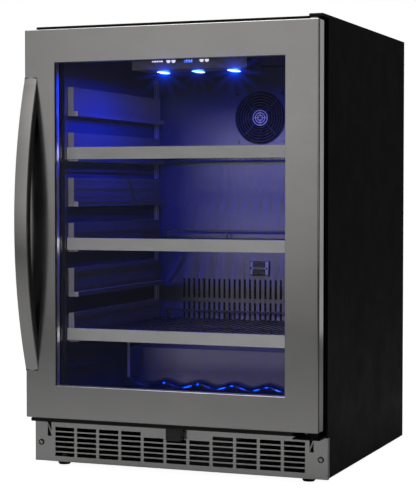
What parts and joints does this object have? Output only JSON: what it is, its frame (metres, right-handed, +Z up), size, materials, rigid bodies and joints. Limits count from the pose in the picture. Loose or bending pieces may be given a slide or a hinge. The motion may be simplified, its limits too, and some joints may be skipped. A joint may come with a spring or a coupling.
{
  "type": "undercounter refrigerator",
  "caption": "Undercounter glass-door refrigerator with bowed handle, steel-trimmed wire shelves, wavy bottle rack, grilled kick plate and levelling feet.",
  "frame": {"origin": "on the floor, under the middle of the bounding box with the door shut and the feet screwed in", "axes": "+X to the right as seen from the front, +Y from the door to the back, +Z up"},
  "size_m": [0.609, 0.6689, 0.872],
  "materials": {
    "black_painted_steel": "satin",
    "dark_stainless": "satin",
    "galvanised_steel": "satin",
    "black_plastic": "satin",
    "gloss_black_plastic": "gloss",
    "liner_plastic": "satin",
    "runner_plastic": "satin",
    "fascia_plastic": "satin",
    "gasket_rubber": "matte",
    "black_rubber": "matte",
    "insulating_foam": "matte",
    "coated_wire": "gloss",
    "nylon": "satin",
    "white_plastic": "satin",
    "copper_tube": "satin",
    "coil_aluminium": "satin",
    "spring_steel": "polished",
    "lamp_lens": "gloss",
    "window_glass": "polished"
  },
  "bodies": {
    "cabinet": {"outer_wrapper": "black_painted_steel", "rear_panel": "black_painted_steel", "base_pan": "galvanised_steel", "deck_plate": "galvanised_steel", "inner_liner": "liner_plastic", "insulation_foam": "insulating_foam", "shelf_runners": "runner_plastic", "evaporator_cover": "liner_plastic", "evaporator_coil": "coil_aluminium", "evap_fan_frame": "black_plastic", "evap_fan_guard": "black_plastic", "fan_guard_screws": "spring_steel", "sensor_cover": "runner_plastic", "control_housing": "black_plastic", "control_fascia": "fascia_plastic", "led_lenses": "lamp_lens", "bottle_rack": "gloss_black_plastic", "kick_plate": "dark_stainless", "kick_plate_screws": "black_painted_steel", "kick_plate_clips": "spring_steel", "top_hinge": "black_painted_steel", "top_hinge_cap": "black_plastic", "bottom_hinge": "black_painted_steel", "hinge_screws": "spring_steel", "compressor": "black_painted_steel", "compressor_mounts": "black_rubber", "starter_cover": "black_plastic", "condenser_coil": "black_painted_steel", "cond_fan_frame": "black_plastic", "drain_pan": "white_plastic", "refrigerant_lines": "copper_tube", "power_cord": "black_rubber", "rear_service_cover": "black_painted_steel", "rear_cover_screws": "spring_steel"},
    "door": {"door_frame": "dark_stainless", "door_inner_frame": "black_plastic", "glass_panes": "window_glass", "glass_spacer": "coil_aluminium", "door_gasket": "gasket_rubber", "handle_bar": "dark_stainless", "handle_back": "gloss_black_plastic", "door_bushings": "nylon", "lock_housing": "fascia_plastic"},
    "lock": {"lock_barrel": "fascia_plastic"},
    "shelf_top": {"shelf_rack_top": "coated_wire", "shelf_trim_top": "dark_stainless"},
    "shelf_middle": {"shelf_rack_middle": "coated_wire", "shelf_trim_middle": "dark_stainless"},
    "shelf_bottom": {"shelf_rack_bottom": "coated_wire", "shelf_trim_bottom": "dark_stainless"},
    "evap_fan": {"evap_fan_rotor": "black_plastic"},
    "cond_fan": {"cond_fan_rotor": "black_plastic"},
    "foot_front_left": {"foot_front_left": "black_plastic"},
    "foot_front_right": {"foot_front_right": "black_plastic"},
    "foot_rear_left": {"foot_rear_left": "black_plastic"},
    "foot_rear_right": {"foot_rear_right": "black_plastic"},
    "button_power": {"button_power": "black_plastic"},
    "button_light": {"button_light": "black_plastic"},
    "button_up": {"button_up": "black_plastic"},
    "button_down": {"button_down": "black_plastic"}
  },
  "joints": [
    {"name": "door_hinge", "type": "hinge", "parent": "cabinet", "child": "door", "pos_m": [0.287, -0.2725, 0.4815], "axis": [0, 0, 1], "range_deg": [0, 115]},
    {"name": "lock_turn", "type": "hinge", "parent": "door", "child": "lock", "pos_m": [0, -0.2475, 0.077], "axis": [0, 1, 0], "range_deg": [0, 90]},
    {"name": "shelf_top_slide", "type": "slide", "parent": "cabinet", "child": "shelf_top", "axis": [0, -1, 0], "range_m": [0, 0.025]},
    {"name": "shelf_middle_slide", "type": "slide", "parent": "cabinet", "child": "shelf_middle", "axis": [0, -1, 0], "range_m": [0, 0.025]},
    {"name": "shelf_bottom_slide", "type": "slide", "parent": "cabinet", "child": "shelf_bottom", "axis": [0, -1, 0], "range_m": [0, 0.025]},
    {"name": "evap_fan_spin", "type": "hinge", "parent": "cabinet", "child": "evap_fan", "pos_m": [0, 0.2615, 0.709], "axis": [0, -1, 0], "continuous": true},
    {"name": "cond_fan_spin", "type": "hinge", "parent": "cabinet", "child": "cond_fan", "pos_m": [-0.1775, 0.2125, 0.0735], "axis": [1, 0, 0], "continuous": true},
    {"name": "foot_front_left_screw", "type": "slide", "parent": "cabinet", "child": "foot_front_left", "axis": [0, 0, -1], "range_m": [0, 0.02]},
    {"name": "foot_front_right_screw", "type": "slide", "parent": "cabinet", "child": "foot_front_right", "axis": [0, 0, -1], "range_m": [0, 0.02]},
    {"name": "foot_rear_left_screw", "type": "slide", "parent": "cabinet", "child": "foot_rear_left", "axis": [0, 0, -1], "range_m": [0, 0.02]},
    {"name": "foot_rear_right_screw", "type": "slide", "parent": "cabinet", "child": "foot_rear_right", "axis": [0, 0, -1], "range_m": [0, 0.02]},
    {"name": "button_power_press", "type": "slide", "parent": "cabinet", "child": "button_power", "axis": [0, 1, 0], "range_m": [0, 0.0008], "stiffness_N_per_m": 400},
    {"name": "button_light_press", "type": "slide", "parent": "cabinet", "child": "button_light", "axis": [0, 1, 0], "range_m": [0, 0.0008], "stiffness_N_per_m": 400},
    {"name": "button_up_press", "type": "slide", "parent": "cabinet", "child": "button_up", "axis": [0, 1, 0], "range_m": [0, 0.0008], "stiffness_N_per_m": 400},
    {"name": "button_down_press", "type": "slide", "parent": "cabinet", "child": "button_down", "axis": [0, 1, 0], "range_m": [0, 0.0008], "stiffness_N_per_m": 400}
  ]
}
